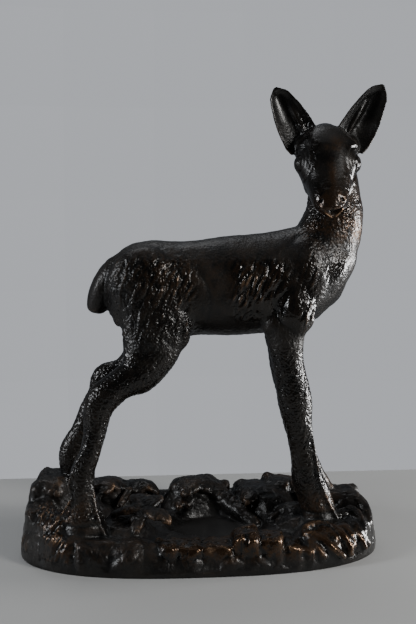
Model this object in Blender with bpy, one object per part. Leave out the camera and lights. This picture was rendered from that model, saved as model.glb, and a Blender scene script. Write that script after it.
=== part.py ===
"""A fawn standing on an oval of rocky ground, cast in bronze in one piece.

Units are metres, +Z is up, and the origin is the middle of the cast's underside, halfway between
its furthest points each way. The fawn walks towards +X and turns its head to look out along -Y.
The whole cast is one closed solid.
"""

import math

import bmesh
import bpy
from mathutils import Matrix, Vector, noise

# The base: an oval slab with a rough rim.
BASE_LENGTH = 0.350
BASE_DEPTH = 0.177
GROUND_LEVEL = 0.022
POOL_LEVEL = 0.016
FOOT_HEIGHT = 0.005
RIM_ROUND = 0.017
OVAL_POWER_REAR = 3.2
OVAL_POWER_FRONT = 2.6
RIM_RISE = 0.009
FLUTE_DEPTH = 0.0055

# The fawn: every station of its body is in 428ths of its height, about a millimetre each.
FIGURE_HEIGHT = 0.428
UNIT = FIGURE_HEIGHT / 428

# The mesh of the cast.
GRAIN = 0.0021
SOFTENING = 6
TRIANGLES = 9700
UNDERCUT = 0.006

# Body stations: x, height of the belly line, height of the back line, half the width.
TORSO = [
    (-82, 205, 260, 25),
    (-75, 195, 269, 33),
    (-63, 186, 275.5, 38),
    (-45, 183, 278.5, 41),
    (-20, 185, 277.5, 40),
    (2, 187, 279, 39),
    (26, 186, 282.5, 40),
    (50, 187, 284, 41),
    (76, 190, 287.5, 41),
    (100, 196, 292, 38),
    (121, 208, 291, 34),
    (136, 225, 287, 28),
    (147, 243, 281, 19),
]

# Limb stations: x, y, height, half-thickness in profile, half-thickness from the front.
NECK = [
    (101, 0, 236, 31, 31),
    (115, 0, 258, 31.5, 29),
    (125.5, 0, 282, 31.5, 27),
    (130.5, 0, 302, 28.5, 25),
    (130.5, 0, 318, 25.5, 23.5),
    (129.5, -1, 333, 23.5, 23),
    (126, -3, 350, 22, 23),
]
TAIL = [
    (-70, 0, 260, 9, 12),
    (-82, 0, 252, 10, 14),
    (-91.5, 0, 239, 10.3, 14.5),
    (-96.5, 0, 226, 10.3, 13),
    (-98.3, 0, 217, 10, 10),
]
NEAR_HIND = [
    (-44, -24, 232, 38, 18),
    (-43, -27, 205, 33, 17.5),
    (-46.5, -30, 181, 28, 16.5),
    (-58.5, -34, 157, 20.5, 14.5),
    (-75.5, -38, 147, 14.8, 12.8),
    (-91.5, -41, 134.5, 15, 12),
    (-98, -42, 118, 12.8, 10.8),
    (-100.5, -43, 99, 10.3, 10),
    (-106.5, -44, 79, 9.9, 9.8),
    (-111.8, -44, 65, 12.2, 10.6),
    (-112.5, -44, 50, 13.6, 12),
    (-110.5, -44, 36, 13, 12),
    (-107.5, -44, 22, 14, 12.6),
]
FAR_HIND = [
    (-42, 24, 232, 38, 18),
    (-42, 27, 206, 32, 17),
    (-49, 29, 184, 26, 15.5),
    (-57, 31, 164, 17.5, 13.5),
    (-74, 33, 147, 12.5, 12),
    (-91, 34, 139, 15, 11),
    (-98.5, 35, 124, 12, 9.5),
    (-108.5, 36, 106, 10.6, 9.4),
    (-119, 37, 82, 10.4, 9.4),
    (-127, 37, 67, 11.8, 10),
    (-128.5, 37, 55, 12.8, 11),
    (-126, 37, 42, 12.5, 11),
    (-122, 37, 30, 14, 12),
]
NEAR_FORE = [
    (92, -24, 238, 26, 17),
    (83, -25, 212, 22, 16),
    (80.5, -26, 193, 19, 15),
    (82, -26, 168, 15.8, 13.2),
    (86.3, -26, 146, 15.4, 12.6),
    (89.5, -26, 130, 16.6, 13.2),
    (91.7, -26, 114, 15.6, 12.5),
    (95.3, -26, 90, 12.2, 11),
    (99.5, -26, 69, 12.7, 11.3),
    (103.5, -26, 47, 15.3, 12.6),
    (108.3, -26, 33, 15.3, 12.6),
    (115, -26, 20, 14.6, 13),
]
FAR_FORE = [
    (95, 24, 238, 26, 17),
    (88, 24, 212, 21.5, 16),
    (83, 23, 193, 18, 14),
    (85, 22, 168, 14.8, 12),
    (88, 22, 146, 14.2, 11.5),
    (93.5, 22, 130, 15.2, 12),
    (98.5, 22, 112, 14.2, 11),
    (100.5, 22, 90, 11.4, 10.4),
    (105, 22, 68, 11.6, 10.4),
    (111, 22, 50, 13, 11.8),
    (117, 22, 37, 13, 11.8),
    (124, 22, 26, 13, 12.2),
]

# Hooves: x, y and height of the middle of the sole, and how far it lifts the toe forward.
HOOVES = [(-107, -44, -1), (-121, 37, 17), (120.5, -26, -1), (130, 22, 5)]
HOOF_LENGTH, HOOF_WIDTH, HOOF_HEIGHT = 34, 25, 24

# Muscle masses: x, y, height, then the three half-lengths. Each is made on both sides.
MUSCLES = [
    (-52, 23, 236, 36, 18, 38),
    (-73, 16, 221, 13, 15, 25),
    (-22, 28, 200, 15, 11, 24),
    (101, 23, 246, 25, 17, 38),
    (90, 27, 214, 21, 15, 27),
    (70, 27, 200, 13, 11, 15),
]
CHEST = [(119, 0, 241, 24, 27, 29), (104, 0, 220, 20, 22, 22)]

# The head: its middle, the way it looks, and rings along it from the poll to the nose.
HEAD_MIDDLE = (121, -5, 361)
HEAD_YAW = math.radians(-5.8)
HEAD_DROP = math.radians(49)
# Distance along the face, shift towards the brow, half the width, half the depth.
HEAD_RINGS = [
    (-26, -2, 15, 15),
    (-18, -1, 24, 22),
    (-6, 0, 29.5, 27),
    (8, 0, 31, 27),
    (20, -1, 29.5, 24.5),
    (33, -1.5, 25, 20.5),
    (46, -1.5, 20.5, 17),
    (58, -1, 18, 14.5),
    (67, -1, 15.5, 12.5),
    (72, -1, 11.5, 9.5),
]
EYE_ALONG, EYE_UP, EYE_SIDE, EYE_RADIUS = 17, 3, 21, 11.5
EYE_TURN = math.radians(64)
BROW_RADIUS = 13

# Carved lines: how deep and how wide, in the fawn's units.
LID_GROOVE = (2.6, 2.6)
MOUTH_GROOVE = (2.2, 1.9)
NOSTRIL = (3.2, 3.4)
CLEFT = (3.0, 2.0)

# The ears: root and tip in the body's frame, with the greatest width and the cup's depth.
EARS = [((102.5, 4, 366), (71.5, 4, 424)), ((143, 4, 368), (177.5, 1, 427.5))]
EAR_WIDTH, EAR_CUP, EAR_WALL, EAR_STEPS = 36, 12, 6, 12
EAR_SHAPE = [0.90, 1.0, 1.0, 0.98, 0.94, 0.88, 0.80, 0.70, 0.53, 0.22]

# Mounds and stones of the ground: x, y, half-length, half-width, turn in degrees, and top height,
# as millimetres on a base of the first drawn length and depth.
MOUNDS = [
    (-147, 30, 27, 34, 0, 62),
    (-126, 38, 24, 24, 0, 44),
    (-155, -12, 20, 34, 12, 38),
    (-90, 60, 28, 22, 0, 45),
    (-60, 62, 22, 18, 0, 41),
    (2, 58, 34, 24, 0, 46),
    (32, 36, 16, 28, -40, 34),
    (60, 62, 26, 18, 0, 39),
    (90, 60, 22, 22, 0, 43),
    (124, 48, 26, 22, 0, 40),
    (152, 24, 22, 36, -8, 39),
    (138, 14, 20, 18, 0, 36),
    (142, -34, 26, 24, 20, 29),
    (-60, 2, 30, 18, 15, 36),
    (-44, -16, 16, 14, 0, 33),
    (-70, -66, 26, 14, 0, 27),
    (-128, -52, 22, 20, 20, 29),
]
# Blocks of stone and clumps of leaves: x, y, half-length, half-width, turn in degrees, top height.
STONES = [
    (-18, -71, 9, 15, 4, 30),
    (5, -72, 7, 13, -6, 29),
    (31, -71, 11, 15, 5, 34),
    (56, -70, 9, 14, -4, 31),
    (78, -67, 9, 15, -14, 29),
    (-44, -70, 10, 14, 10, 26),
    (-92, -66, 15, 13, 14, 28),
    (-132, -46, 17, 14, 32, 33),
    (-158, -8, 10, 26, 10, 40),
    (-148, 32, 16, 24, -12, 61),
    (-127, 44, 14, 20, 8, 52),
    (-96, 68, 20, 13, -4, 45),
    (-62, 70, 14, 12, 6, 42),
    (-52, -6, 20, 17, 24, 36),
    (-68, 8, 17, 14, -20, 38),
    (-36, 2, 12, 13, -35, 32),
    (-4, 62, 21, 17, 8, 47),
    (16, 54, 14, 20, -28, 45),
    (34, 38, 10, 18, -48, 36),
    (60, 68, 15, 13, 10, 38),
    (82, 68, 16, 14, -6, 43),
    (70, 44, 22, 16, 20, 32),
    (120, 56, 18, 15, -14, 42),
    (148, 36, 14, 20, -30, 38),
    (160, 4, 11, 20, 6, 38),
    (128, -50, 26, 6, 24, 31),
    (118, -62, 22, 6, 20, 27),
    (146, -32, 20, 7, 30, 32),
]
STONE_POWER, STONE_ROUGHNESS = 3.6, 0.16
POOL = (22, -8, 60, 44)
DRAWN_LENGTH, DRAWN_DEPTH, DRAWN_GROUND = 350, 177, 22


def clear_scene():
    for old in list(bpy.data.objects):
        bpy.data.objects.remove(old)


def smooth_step(value):
    value = min(1.0, max(0.0, value))
    return value * value * (3 - 2 * value)


def figure_point(x, y, z):
    """A point of the fawn: x and y from the middle of the base, z from the ground it stands on."""
    return Vector((x * UNIT, y * UNIT, GROUND_LEVEL + z * UNIT))


def smooth_run(stations, steps=4):
    """More stations between the given ones, on a Catmull-Rom curve through all their numbers."""
    padded = [stations[0], *stations, stations[-1]]
    run = []
    for before, start, end, after in zip(padded, padded[1:], padded[2:], padded[3:]):
        for step in range(steps):
            t = step / steps
            run.append(
                [
                    0.5 * (2 * b + (c - a) * t + (2 * a - 5 * b + 4 * c - d) * t**2
                           + (3 * b - 3 * c + d - a) * t**3)
                    for a, b, c, d in zip(before, start, end, after)
                ]
            )
    run.append(list(stations[-1]))
    return run


def skin_rings(form, rings):
    """Joins rings of equally many points into a closed tube."""
    loops = [[form.verts.new(point) for point in ring] for ring in rings]
    for low, high in zip(loops, loops[1:]):
        for i in range(len(low)):
            j = (i + 1) % len(low)
            form.faces.new((low[i], low[j], high[j], high[i]))
    form.faces.new(list(reversed(loops[0])))
    form.faces.new(loops[-1])


def domed(rings, bulge=0.7, turns=3):
    """Ring frames with a round cap added at each end: (middle, first half-axis, second half-axis)."""

    def cap(ring, inner):
        middle, first, second = ring
        out = (middle - inner[0]).normalized() * min(first.length, second.length) * bulge
        made = []
        for turn in range(1, turns + 1):
            angle = turn / (turns + 0.35) * math.pi / 2
            shrink = math.cos(angle)
            made.append((middle + out * math.sin(angle), first * shrink, second * shrink))
        return made

    return cap(rings[0], rings[1])[::-1] + rings + cap(rings[-1], rings[-2])


def oval_points(ring, sides=28):
    middle, first, second = ring
    turns = [2 * math.pi * i / sides for i in range(sides)]
    return [middle + first * math.cos(turn) + second * math.sin(turn) for turn in turns]


def add_limb(form, stations, bulge=0.7, facing=None):
    """A leg, neck, tail or trunk: ovals along a smooth path, square to it or to the given direction."""
    run = smooth_run(stations)
    middles = [figure_point(*station[:3]) for station in run]
    rings = []
    for i, station in enumerate(run):
        ahead = facing or middles[min(i + 1, len(run) - 1)] - middles[max(i - 1, 0)]
        profile = ahead.cross(Vector((0, 1, 0))).normalized()
        across = profile.cross(ahead).normalized()
        rings.append((middles[i], profile * station[3] * UNIT, across * station[4] * UNIT))
    skin_rings(form, [oval_points(ring) for ring in domed(rings, bulge)])


def add_ellipsoid(form, middle, halves, turn=None):
    place = Matrix.Translation(middle) @ (turn or Matrix()) @ Matrix.Diagonal((*halves, 1))
    bmesh.ops.create_uvsphere(form, u_segments=28, v_segments=18, radius=1, matrix=place)


def head_axes():
    """The face's own directions: from poll to nose, to the right as seen from in front, to the brow."""
    ahead = Vector((math.sin(HEAD_YAW), -math.cos(HEAD_YAW), 0))
    nose = ahead * math.cos(HEAD_DROP) - Vector((0, 0, math.sin(HEAD_DROP)))
    side = Vector((math.cos(HEAD_YAW), math.sin(HEAD_YAW), 0))
    return nose, side, nose.cross(side)


def head_point(along, side, brow):
    nose_axis, side_axis, brow_axis = head_axes()
    offset = nose_axis * along + side_axis * side + brow_axis * brow
    return figure_point(*HEAD_MIDDLE) + offset * UNIT


def add_head(form):
    """Skull and muzzle as one run of ovals, then eyes, brows, cheeks, nose and lower jaw."""
    _, side_axis, brow_axis = head_axes()
    rings = [
        (head_point(along, 0, shift), side_axis * wide * UNIT, brow_axis * deep * UNIT)
        for along, shift, wide, deep in smooth_run(HEAD_RINGS)
    ]
    skin_rings(form, [oval_points(ring) for ring in domed(rings)])
    turn = Matrix((side_axis, head_axes()[0], brow_axis)).transposed().to_4x4()
    for hand in (-1, 1):
        eye = head_point(EYE_ALONG, hand * EYE_SIDE, EYE_UP)
        add_ellipsoid(form, eye, [EYE_RADIUS * UNIT] * 3)
        brow = head_point(EYE_ALONG - 13, hand * (EYE_SIDE - 4), EYE_UP + 7)
        add_ellipsoid(form, brow, [BROW_RADIUS * UNIT, 10 * UNIT, 10 * UNIT], turn)
        cheek = head_point(28, hand * 12, -9)
        add_ellipsoid(form, cheek, [11 * UNIT, 18 * UNIT, 13 * UNIT], turn)
        lip = head_point(61, hand * 8, -3)
        add_ellipsoid(form, lip, [9 * UNIT, 10 * UNIT, 9 * UNIT], turn)
    add_ellipsoid(form, head_point(66, 0, 5), [10 * UNIT, 7 * UNIT, 7 * UNIT], turn)
    add_ellipsoid(form, head_point(58, 0, -13), [9 * UNIT, 14 * UNIT, 6 * UNIT], turn)


def eye_frame(hand):
    """One eye's middle and the way it looks, outwards and a little forwards."""
    ahead = Vector((math.sin(HEAD_YAW), -math.cos(HEAD_YAW), 0))
    side = head_axes()[1] * hand
    look = side * math.sin(EYE_TURN) + ahead * math.cos(EYE_TURN)
    return head_point(EYE_ALONG, hand * EYE_SIDE, EYE_UP), look


def groove(line, distance):
    """How far a point moves in when it is this far from the middle of a carved line."""
    depth, width = line
    return depth * math.exp(-((distance / width) ** 2))


def carving(point):
    """The way a point of the cast's skin is pushed in by the eyelids, nostrils, mouth and clefts."""
    move = Vector()
    nose, side, brow = head_axes()
    from_head = (point - figure_point(*HEAD_MIDDLE)) / UNIT
    along, across, up = from_head.dot(nose), from_head.dot(side), from_head.dot(brow)
    if from_head.length < 100 and along > -12:
        for hand in (-1, 1):
            middle, look = eye_frame(hand)
            offset = (point - middle) / UNIT
            ahead = offset.dot(look)
            flat = offset - look * ahead
            radius = math.hypot(flat.z / 1.3, Vector((flat.x, flat.y)).length)
            if ahead > -2:
                move -= look * groove(LID_GROOVE, radius - EYE_RADIUS - 1)
            hole = math.hypot(across - hand * 9.5, up - 7)
            if along > 58:
                move -= nose * groove(NOSTRIL, hole)
        if along > 44:
            move -= (nose * 0.5 + side * 0.1 * across) * groove(MOUTH_GROOVE, up + 7)
    for x, y, z in HOOVES:
        sole = figure_point(x, y, z)
        offset = (point - sole) / UNIT
        if 0 < offset.x < HOOF_LENGTH and abs(offset.y) < HOOF_WIDTH and -2 < offset.z < HOOF_HEIGHT:
            move.x -= groove(CLEFT, offset.y)
    return move * UNIT


def add_ear(form, root, tip):
    """A cupped leaf: each cross-section is a crescent that opens towards the front."""
    start, end = figure_point(*root), figure_point(*tip)
    along = end - start
    side = Vector((0, 1, 0)).cross(along).normalized()
    back = along.cross(side).normalized()
    if back.y < 0:
        back = -back
    rings = []
    shape = [value for (value,) in smooth_run([(v,) for v in EAR_SHAPE], 3)]
    for i, width in enumerate(shape):
        share = i / (len(shape) - 1)
        half = EAR_WIDTH / 2 * width * UNIT
        cup = EAR_CUP * width * UNIT * (0.65 + 0.35 * share)
        wall = EAR_WALL * UNIT * (1.25 - 0.45 * share)
        middle = start + along * share * 0.985
        outer, inner = [], []
        for step in range(EAR_STEPS + 1):
            across = -math.cos(math.pi * step / EAR_STEPS)
            depth = cup * (1 - across**2)
            edge = wall / 2 * (1 - across**4) ** 0.5
            outer.append(middle + side * half * across + back * (depth + edge))
            if 0 < step < EAR_STEPS:
                inner.append(middle + side * half * across + back * (depth - edge))
        rings.append(outer + inner[::-1])
    skin_rings(form, rings)


def add_hoof(form, x, y, z):
    """A hoof: a blunt wedge whose sole reaches forward of the pastern."""
    half_length, half_width = HOOF_LENGTH / 2, HOOF_WIDTH / 2
    run = [
        (z - 4, 0, half_length * 0.98, half_width),
        (z + 2, -0.5, half_length, half_width),
        (z + HOOF_HEIGHT * 0.55, -4, half_length * 0.84, half_width * 0.95),
        (z + HOOF_HEIGHT, -7, half_length * 0.72, half_width * 0.86),
    ]
    rings = [
        (
            figure_point(x + shift, y, height),
            Vector((length * UNIT, 0, 0)),
            Vector((0, width * UNIT, 0)),
        )
        for height, shift, length, width in run
    ]
    skin_rings(form, [oval_points(ring) for ring in rings])


def oval_radius(x, y):
    """0 at the middle of the base and 1 on its outline."""
    across, deep = abs(x) / (BASE_LENGTH / 2), abs(y) / (BASE_DEPTH / 2)
    power = OVAL_POWER_FRONT if y < 0 else OVAL_POWER_REAR
    return (across**power + deep**power) ** (1 / power)


def ground_height(x, y):
    """The height of the ground inside the base's outline, before its edge falls away."""
    drawn_x, drawn_y = x / BASE_LENGTH * DRAWN_LENGTH, y / BASE_DEPTH * DRAWN_DEPTH
    rough = noise.fractal(Vector((drawn_x, drawn_y, 0)) / 26, 1.0, 2.0, 4) * 0.0028
    height = GROUND_LEVEL + rough + RIM_RISE * smooth_step((oval_radius(x, y) - 0.66) * 5)
    for mound_x, mound_y, long, wide, turn, top in MOUNDS:
        turned = Vector((drawn_x - mound_x, drawn_y - mound_y)).to_3d()
        turned.rotate(Matrix.Rotation(-math.radians(turn), 3, "Z"))
        reach = math.hypot(turned.x / long, turned.y / wide)
        rise = (top - DRAWN_GROUND) / 1000 * smooth_step(1.9 * (1 - reach))
        height = max(height, GROUND_LEVEL + rise + rough * 0.8)
    pool_x, pool_y, pool_long, pool_wide = POOL
    reach = math.hypot((drawn_x - pool_x) / pool_long, (drawn_y - pool_y) / pool_wide)
    dry = smooth_step((reach - 0.72) * 4)
    return POOL_LEVEL + (height - POOL_LEVEL) * dry


def add_stone(form, x, y, long, wide, turn, top):
    """A squarish block, its foot buried in the ground, with uneven faces."""
    ball = bmesh.ops.create_uvsphere(form, u_segments=24, v_segments=16, radius=1)["verts"]
    turned = Matrix.Rotation(math.radians(turn), 4, "Z")
    half_height = GROUND_LEVEL / 2 + (top - DRAWN_GROUND) / 2000
    for vertex in ball:
        block = vertex.co / sum(abs(value) ** STONE_POWER for value in vertex.co) ** (1 / STONE_POWER)
        block *= 1 + STONE_ROUGHNESS * noise.noise(block * 1.7 + Vector((x, y, 0)))
        block = turned @ Vector((block.x * long, block.y * wide, block.z))
        vertex.co = (
            (x + block.x) / DRAWN_LENGTH * BASE_LENGTH,
            (y + block.y) / DRAWN_DEPTH * BASE_DEPTH,
            half_height * (1 + block.z),
        )


def add_base(form):
    """The ground as rings from the outline to the middle, closed underneath."""
    sides = 220
    shares = [1.0, 1.0, 0.995, 0.985, 0.97, 0.95, 0.925, 0.90]
    shares += [0.88 - 0.88 * i / 30 for i in range(30)]
    rings = []
    for level, share in enumerate(shares):
        ring = []
        for i in range(sides):
            angle = 2 * math.pi * i / sides
            ray = Vector((math.cos(angle) * BASE_LENGTH, math.sin(angle) * BASE_DEPTH))
            point = ray * (share / oval_radius(*ray))
            inset = point.length * (1 / share - 1)
            flute = noise.noise(Vector((point.x, point.y, 3.0)) * 52) * FLUTE_DEPTH
            wall = min(1.0, max(0.0, (inset + flute) / RIM_ROUND))
            rise = math.sqrt(1 - (1 - wall) ** 2)
            height = FOOT_HEIGHT + (ground_height(*point) - FOOT_HEIGHT) * rise
            if level == 0:
                height = -UNDERCUT
            elif level == 1:
                height = FOOT_HEIGHT
            ring.append((point.x, point.y, height))
        rings.append(ring)
    skin_rings(form, rings)


def cast_form():
    """Every mass of the cast in one mesh, overlapping where they grow out of each other."""
    form = bmesh.new()
    trunk = [(x, 0, (low + high) / 2, (high - low) / 2, half) for x, low, high, half in TORSO]
    add_limb(form, trunk, bulge=0.35, facing=Vector((1, 0, 0)))
    for stations in (NECK, TAIL, NEAR_HIND, FAR_HIND, NEAR_FORE, FAR_FORE):
        add_limb(form, stations)
    for x, y, z, *halves in CHEST:
        add_ellipsoid(form, figure_point(x, y, z), [half * UNIT for half in halves])
    for x, y, z, *halves in MUSCLES:
        for hand in (-1, 1):
            add_ellipsoid(form, figure_point(x, hand * y, z), [half * UNIT for half in halves])
    add_head(form)
    for root, tip in EARS:
        add_ear(form, root, tip)
    for hoof in HOOVES:
        add_hoof(form, *hoof)
    add_base(form)
    for stone in STONES:
        add_stone(form, *stone)
    bmesh.ops.recalc_face_normals(form, faces=form.faces)
    mesh = bpy.data.meshes.new("cast_form")
    form.to_mesh(mesh)
    form.free()
    return mesh


def melted(mesh):
    """One skin over all the masses, softened where they meet, carved, and set over the origin."""
    rough = bpy.data.objects.new("rough", mesh)
    bpy.context.scene.collection.objects.link(rough)
    remesh = rough.modifiers.new("one_skin", "REMESH")
    remesh.mode = "VOXEL"
    remesh.voxel_size = GRAIN
    soften = rough.modifiers.new("soften", "SMOOTH")
    soften.factor = 0.5
    soften.iterations = SOFTENING
    graph = bpy.context.evaluated_depsgraph_get()
    skin = bpy.data.meshes.new_from_object(rough.evaluated_get(graph))
    bpy.data.objects.remove(rough)
    for vertex in skin.vertices:
        vertex.co += carving(vertex.co)
    lengths = [vertex.co.x for vertex in skin.vertices]
    depths = [vertex.co.y for vertex in skin.vertices]
    middle = Vector((min(lengths) + max(lengths), min(depths) + max(depths), 0)) / 2
    skin.transform(Matrix.Translation(-middle))
    return skin


def bronze():
    material = bpy.data.materials.new("dark_bronze")
    material.use_nodes = True
    shader = material.node_tree.nodes["Principled BSDF"]
    shader.inputs["Base Color"].default_value = (0.045, 0.032, 0.024, 1)
    shader.inputs["Metallic"].default_value = 0.85
    shader.inputs["Roughness"].default_value = 0.32
    return material


def add_floor_cutter():
    """A block under the floor, which cuts the cast's underside flat."""
    cutter_mesh = bpy.data.meshes.new("floor_cutter")
    block = bmesh.new()
    depth = UNDERCUT * 4
    size = Matrix.Diagonal((BASE_LENGTH * 1.5, BASE_DEPTH * 2, depth, 1))
    bmesh.ops.create_cube(block, size=1, matrix=Matrix.Translation((0, 0, -depth / 2)) @ size)
    block.to_mesh(cutter_mesh)
    block.free()
    cutter = bpy.data.objects.new("floor_cutter", cutter_mesh)
    bpy.context.scene.collection.objects.link(cutter)
    cutter.hide_render = True
    cutter.display_type = "WIRE"
    return cutter


def build():
    clear_scene()
    skin = melted(cast_form())
    cast = bpy.data.objects.new("fawn_on_rocky_ground", skin)
    bpy.context.scene.collection.objects.link(cast)
    skin.materials.clear()
    skin.materials.append(bronze())
    thin = cast.modifiers.new("thin_out", "DECIMATE")
    thin.ratio = min(1.0, TRIANGLES / (2 * len(skin.polygons)))
    thin.use_collapse_triangulate = True
    flat = cast.modifiers.new("flat_underside", "BOOLEAN")
    flat.operation = "DIFFERENCE"
    flat.object = add_floor_cutter()


build()
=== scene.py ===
import math

import bmesh
import bpy
import numpy as np
from mathutils import Matrix, Vector, noise


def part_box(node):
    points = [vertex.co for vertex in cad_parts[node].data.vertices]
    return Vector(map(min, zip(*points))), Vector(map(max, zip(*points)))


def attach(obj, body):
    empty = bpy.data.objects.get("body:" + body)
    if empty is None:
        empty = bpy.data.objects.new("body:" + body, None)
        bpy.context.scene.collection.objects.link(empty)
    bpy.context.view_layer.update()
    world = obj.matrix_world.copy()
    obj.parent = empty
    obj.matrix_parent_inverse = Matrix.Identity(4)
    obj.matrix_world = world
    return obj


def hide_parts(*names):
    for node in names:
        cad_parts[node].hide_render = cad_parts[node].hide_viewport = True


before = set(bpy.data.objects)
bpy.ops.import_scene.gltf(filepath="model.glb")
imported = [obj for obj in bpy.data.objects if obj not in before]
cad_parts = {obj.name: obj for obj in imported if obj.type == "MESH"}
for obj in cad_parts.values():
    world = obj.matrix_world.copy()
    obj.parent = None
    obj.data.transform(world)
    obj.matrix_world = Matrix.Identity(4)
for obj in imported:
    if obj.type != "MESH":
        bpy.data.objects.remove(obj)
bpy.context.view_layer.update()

# Body, neck and tail
#
# The trunk, neck and short hanging tail of a young deer. Modelled in clay over a wire frame,
# each mass rounded off and run into the next, and cast with the rest in one pour of bronze.

MM = 0.001
# The top of the ground stands this far above the table.
GROUND = 22
form = bmesh.new()
# Trunk, in millimetres: x, height of the belly and of the back above the ground, half the width.
TORSO = [
    (-82, 205, 260, 25), (-75, 195, 269, 33), (-63, 186, 275.5, 38), (-45, 183, 278.5, 41),
    (-20, 185, 277.5, 40), (2, 187, 279, 39), (26, 186, 282.5, 40), (50, 187, 284, 41),
    (76, 190, 287.5, 41), (100, 196, 292, 38), (121, 208, 291, 34), (136, 225, 287, 28),
    (147, 243, 281, 19),
]
# Neck and tail: x, y, height, half-thickness seen from the side, half-thickness from the front.
NECK = [
    (101, 0, 236, 31, 31), (115, 0, 258, 31.5, 29), (125.5, 0, 282, 31.5, 27),
    (130.5, 0, 302, 28.5, 25), (130.5, 0, 318, 25.5, 23.5), (129.5, -1, 333, 23.5, 23),
    (126, -3, 350, 22, 23),
]
TAIL = [
    (-70, 0, 260, 9, 12), (-82, 0, 252, 10, 14), (-91.5, 0, 239, 10.3, 14.5),
    (-96.5, 0, 226, 10.3, 13), (-98.6, 0, 215, 10, 10),
]
# Muscle masses on both sides: x, y, height, then three half-lengths.
MUSCLES = [
    (-52, 23, 236, 36, 19, 38), (-73, 16, 221, 13, 15, 25), (-22, 29, 200, 14, 11, 24),
    (101, 24, 246, 23, 17, 38), (90, 29, 214, 18, 17.5, 27), (70, 27, 200, 13, 11, 15),
]
CHEST = [(119, 0, 241, 24, 27, 29), (104, 0, 220, 20, 22, 22)]
BALL_SIDES, BALL_ROWS = 40, 24


def at(x, y, z):
    """A point in metres from millimetres, z counted from the top of the ground."""
    return Vector((x, y, z + GROUND)) * MM


def smooth_run(stations, steps=6):
    """A Catmull-Rom curve through all the numbers of the stations."""
    padded = [stations[0], *stations, stations[-1]]
    run = []
    for a, b, c, d in zip(padded, padded[1:], padded[2:], padded[3:]):
        a, b, c, d = (np.array(v, float) for v in (a, b, c, d))
        for step in range(steps):
            t = step / steps
            run.append(0.5 * (2 * b + (c - a) * t + (2 * a - 5 * b + 4 * c - d) * t**2
                              + (3 * b - 3 * c + d - a) * t**3))
    run.append(np.array(stations[-1], float))
    return run


def skin_rings(rings):
    """Joins rings of equally many points into a closed tube in the clay form."""
    loops = [[form.verts.new(point) for point in ring] for ring in rings]
    for low, high in zip(loops, loops[1:]):
        for i in range(len(low)):
            j = (i + 1) % len(low)
            form.faces.new((low[i], low[j], high[j], high[i]))
    form.faces.new(list(reversed(loops[0])))
    form.faces.new(loops[-1])


def skin_ovals(rings, bulge=0.7, sides=40):
    """A tube of ovals, each (middle, first half-axis, second half-axis), with a dome on each end."""
    ends = []
    for ring, inner in ((rings[0], rings[1]), (rings[-1], rings[-2])):
        middle, first, second = ring
        out = (middle - inner[0]).normalized() * min(first.length, second.length) * bulge
        cap = []
        for turn in range(1, 5):
            angle = turn / 4.3 * math.pi / 2
            cap.append((middle + out * math.sin(angle), first * math.cos(angle), second * math.cos(angle)))
        ends.append(cap)
    turns = [2 * math.pi * i / sides for i in range(sides)]
    skin_rings([
        [middle + first * math.cos(turn) + second * math.sin(turn) for turn in turns]
        for middle, first, second in ends[0][::-1] + rings + ends[1]
    ])


def add_limb(stations, bulge=0.7, facing=None):
    run = smooth_run(stations)
    middles = [at(*station[:3]) for station in run]
    rings = []
    for i, station in enumerate(run):
        ahead = facing or middles[min(i + 1, len(run) - 1)] - middles[max(i - 1, 0)]
        profile = ahead.cross(Vector((0, 1, 0))).normalized()
        across = profile.cross(ahead).normalized()
        rings.append((middles[i], profile * station[3] * MM, across * station[4] * MM))
    skin_ovals(rings, bulge)


def unit_ball():
    """Rings of points on a ball of radius one, from its foot to its top."""
    for row in range(1, BALL_ROWS):
        polar = math.pi * row / BALL_ROWS
        yield [
            Vector((math.sin(polar) * math.cos(turn), math.sin(polar) * math.sin(turn), -math.cos(polar)))
            for turn in (2 * math.pi * i / BALL_SIDES for i in range(BALL_SIDES))
        ]


def add_ball(middle, halves, turn=None):
    """An egg whose half-lengths lie along x, y and z, or along the turned axes."""
    turn = turn or Matrix.Identity(3)
    skin_rings([
        [middle + turn @ Vector([a * b * MM for a, b in zip(unit, halves)]) for unit in ring]
        for ring in unit_ball()
    ])


trunk = [(x, 0, (low + high) / 2, (high - low) / 2, half) for x, low, high, half in TORSO]
add_limb(trunk, bulge=0.35, facing=Vector((1, 0, 0)))
add_limb(NECK)
add_limb(TAIL)
for x, y, z, *halves in CHEST:
    add_ball(at(x, y, z), halves)
for x, y, z, *halves in MUSCLES:
    add_ball(at(x, y, z), halves)
    add_ball(at(x, -y, z), halves)

# Legs and hooves
#
# Four long legs in mid-stride, each ending in a blunt cloven hoof that grows out of the ground.
# The near pair carries the mould seams: a folded ridge behind the hind, a crisp one down the fore.

NEAR_HIND = [
    (-44, -24, 232, 38, 18), (-43, -27, 205, 33, 17.5), (-46.5, -30, 181, 28, 16.5),
    (-58.5, -34, 157, 20.5, 14.5), (-75.5, -38, 147, 14.8, 12.8), (-91.5, -41, 134.5, 15, 12),
    (-98, -42, 118, 12.8, 10.8), (-100.5, -43, 99, 10.3, 10), (-106.5, -44, 79, 9.9, 9.8),
    (-111.8, -44, 65, 11.5, 10.6), (-113, -44, 50, 11.5, 11.5), (-112, -44, 37, 12.5, 12),
    (-111.5, -44, 24, 18, 14), (-111, -45, 10, 22.5, 16),
]
FAR_HIND = [
    (-42, 24, 232, 38, 18), (-42, 27, 206, 32, 17), (-49, 29, 184, 26, 15.5),
    (-57, 31, 164, 17.5, 13.5), (-74, 33, 147, 12.5, 12), (-91, 34, 139, 15, 11),
    (-98.5, 35, 124, 12, 9.5), (-108.5, 36, 106, 10.6, 9.4), (-119, 37, 82, 10.4, 9.4),
    (-127, 37, 67, 11.8, 10), (-128.5, 37, 55, 12.8, 11), (-126, 37, 42, 12.5, 11),
    (-122, 37, 30, 14, 12), (-121, 37, 18, 15, 13),
]
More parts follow.
